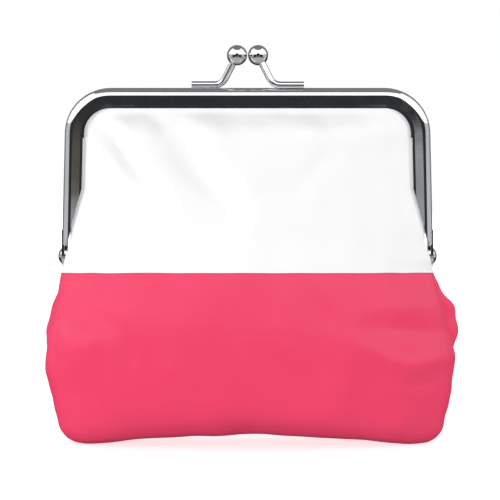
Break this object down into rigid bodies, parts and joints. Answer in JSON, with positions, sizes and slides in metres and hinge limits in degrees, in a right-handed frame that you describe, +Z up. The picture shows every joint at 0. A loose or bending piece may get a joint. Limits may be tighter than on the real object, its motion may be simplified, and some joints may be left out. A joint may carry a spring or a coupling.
{
  "type": "coin purse",
  "caption": "Soft white and coral leather coin purse with a hinged chrome frame and a ball clasp that snaps shut.",
  "frame": {"origin": "on the surface the purse stands on, under the middle of the pouch", "axes": "+Z up towards the clasp, +X along the frame, and the front of the purse faces -Y"},
  "size_m": [0.1174, 0.04, 0.1137],
  "materials": {
    "frame_metal": "polished",
    "clasp_metal": "polished",
    "rivet_metal": "polished",
    "leather_white": "smooth satin, printed white",
    "leather_coral": "smooth satin, printed coral pink",
    "lining": "woven satin",
    "paper_cord": "twisted kraft paper",
    "thread": "twisted polyester"
  },
  "bodies": {
    "pouch": {"front_leather_lower": "leather_coral", "back_leather_lower": "leather_coral", "front_lining_lower": "lining", "back_lining_lower": "lining", "leather_seam_thread": "thread", "lining_seam_thread": "thread", "left_hinge_rivet": "rivet_metal", "right_hinge_rivet": "rivet_metal"},
    "front_half": {"front_frame": "frame_metal", "front_clasp_stem": "clasp_metal", "front_clasp_ball": "clasp_metal", "front_leather_upper": "leather_white", "front_lining_upper": "lining", "front_paper_cord": "paper_cord"},
    "back_half": {"back_frame": "frame_metal", "back_clasp_stem": "clasp_metal", "back_clasp_ball": "clasp_metal", "back_leather_upper": "leather_white", "back_lining_upper": "lining", "back_paper_cord": "paper_cord"}
  },
  "joints": [
    {"name": "front_half_hinge", "type": "hinge", "parent": "pouch", "child": "front_half", "pos_m": [0, 0, 0.0535], "axis": [1, 0, 0], "range_deg": [0, 45]},
    {"name": "back_half_hinge", "type": "hinge", "parent": "pouch", "child": "back_half", "pos_m": [0, 0, 0.0535], "axis": [-1, 0, 0], "range_deg": [0, 45]}
  ],
  "couplings": [
    {"joint": "back_half_hinge", "follows": "front_half_hinge", "ratio": 1}
  ]
}
